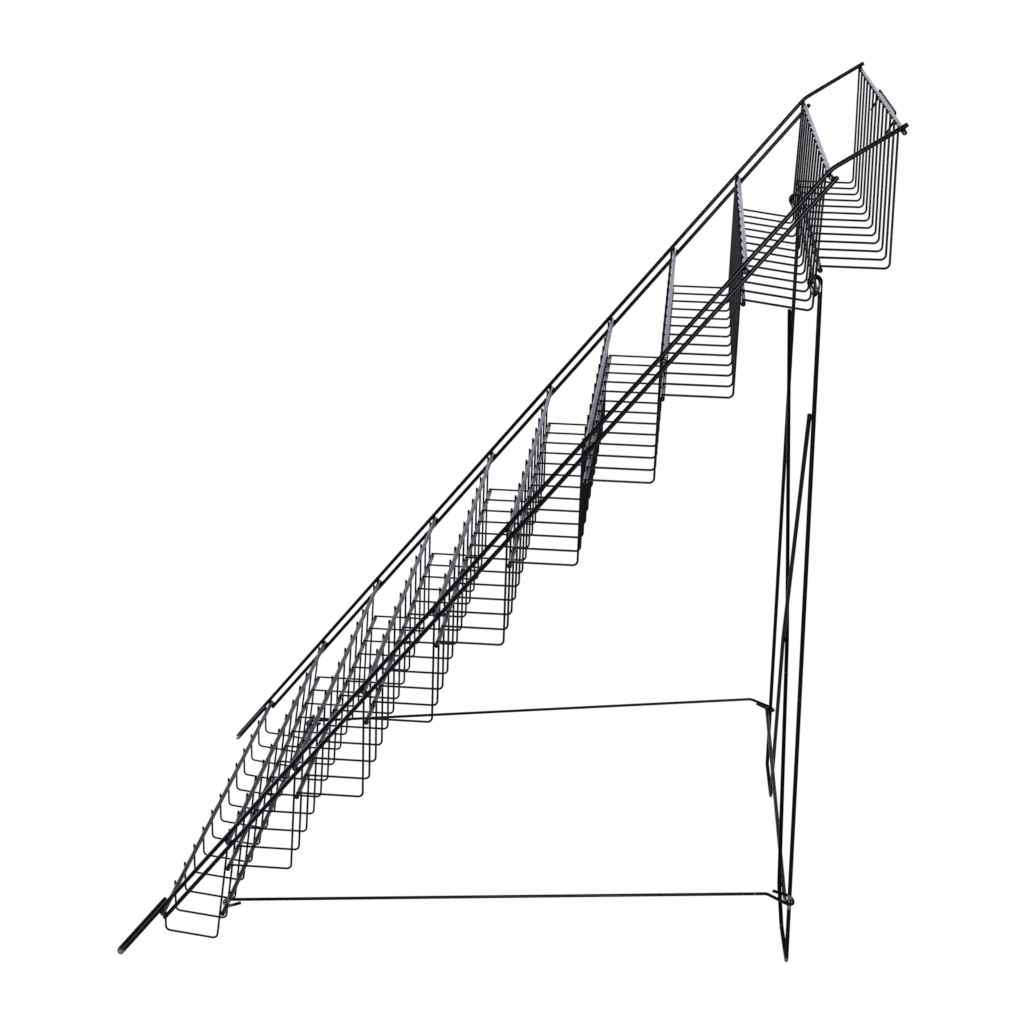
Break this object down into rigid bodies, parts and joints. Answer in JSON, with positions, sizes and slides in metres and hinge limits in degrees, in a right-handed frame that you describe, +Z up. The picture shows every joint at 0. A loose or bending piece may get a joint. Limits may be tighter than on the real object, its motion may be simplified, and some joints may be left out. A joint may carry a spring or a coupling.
{
  "type": "wire display rack",
  "caption": "Free-standing stepped display rack of black bent wire: shallow shelves on two raked side rails, with a folding rear stand and two side braces.",
  "frame": {"origin": "middle of the footprint, on the floor", "axes": "+X to the right of someone who stands in front of the rack and looks at it, +Y from the front feet to the back, +Z up"},
  "size_m": [0.616, 0.8348, 0.9897],
  "materials": {
    "black_wire": "semi-gloss black powder coat"
  },
  "bodies": {
    "rack": {"brace_pivot_wire": "black_wire", "left_inner_rail_wire": "black_wire", "left_outer_rail_wire": "black_wire", "lower_cross_wire_02": "black_wire", "lower_cross_wire_03": "black_wire", "lower_cross_wire_04": "black_wire", "lower_cross_wire_05": "black_wire", "lower_cross_wire_06": "black_wire", "lower_cross_wire_07": "black_wire", "lower_cross_wire_08": "black_wire", "lower_cross_wire_09": "black_wire", "lower_cross_wire_10": "black_wire", "right_inner_rail_wire": "black_wire", "right_outer_rail_wire": "black_wire", "shelf_01_wires": "black_wire", "shelf_02_wires": "black_wire", "shelf_03_wires": "black_wire", "shelf_04_wires": "black_wire", "shelf_05_wires": "black_wire", "shelf_06_wires": "black_wire", "shelf_07_wires": "black_wire", "shelf_08_wires": "black_wire", "shelf_09_wires": "black_wire", "shelf_10_wires": "black_wire", "sign_holder_wire": "black_wire", "stand_pivot_wire": "black_wire", "top_cross_wire_00": "black_wire", "top_cross_wire_01": "black_wire", "top_cross_wire_02": "black_wire", "top_cross_wire_03": "black_wire", "top_cross_wire_04": "black_wire", "top_cross_wire_05": "black_wire", "top_cross_wire_06": "black_wire", "top_cross_wire_07": "black_wire", "top_cross_wire_08": "black_wire", "top_cross_wire_09": "black_wire", "top_cross_wire_10": "black_wire"},
    "rear_stand": {"left_stand_leg_wire": "black_wire", "right_stand_leg_wire": "black_wire", "stand_bar": "black_wire"},
    "right_brace": {"right_brace_wire": "black_wire"},
    "left_brace": {"left_brace_wire": "black_wire"}
  },
  "joints": [
    {"name": "stand_fold", "type": "hinge", "parent": "rack", "child": "rear_stand", "pos_m": [0, 0.33975, 0.81269], "axis": [-1, 0, 0], "range_deg": [0, 30]},
    {"name": "right_brace_swing", "type": "hinge", "parent": "rack", "child": "right_brace", "pos_m": [0.258, -0.29536, 0.05071], "axis": [1, 0, 0], "range_deg": [0, 15]},
    {"name": "left_brace_swing", "type": "hinge", "parent": "rack", "child": "left_brace", "pos_m": [-0.258, -0.29536, 0.05071], "axis": [1, 0, 0], "range_deg": [0, 15]}
  ],
  "couplings": [
    {"joint": "right_brace_swing", "follows": "stand_fold", "ratio": 0.5},
    {"joint": "left_brace_swing", "follows": "stand_fold", "ratio": 0.5}
  ]
}
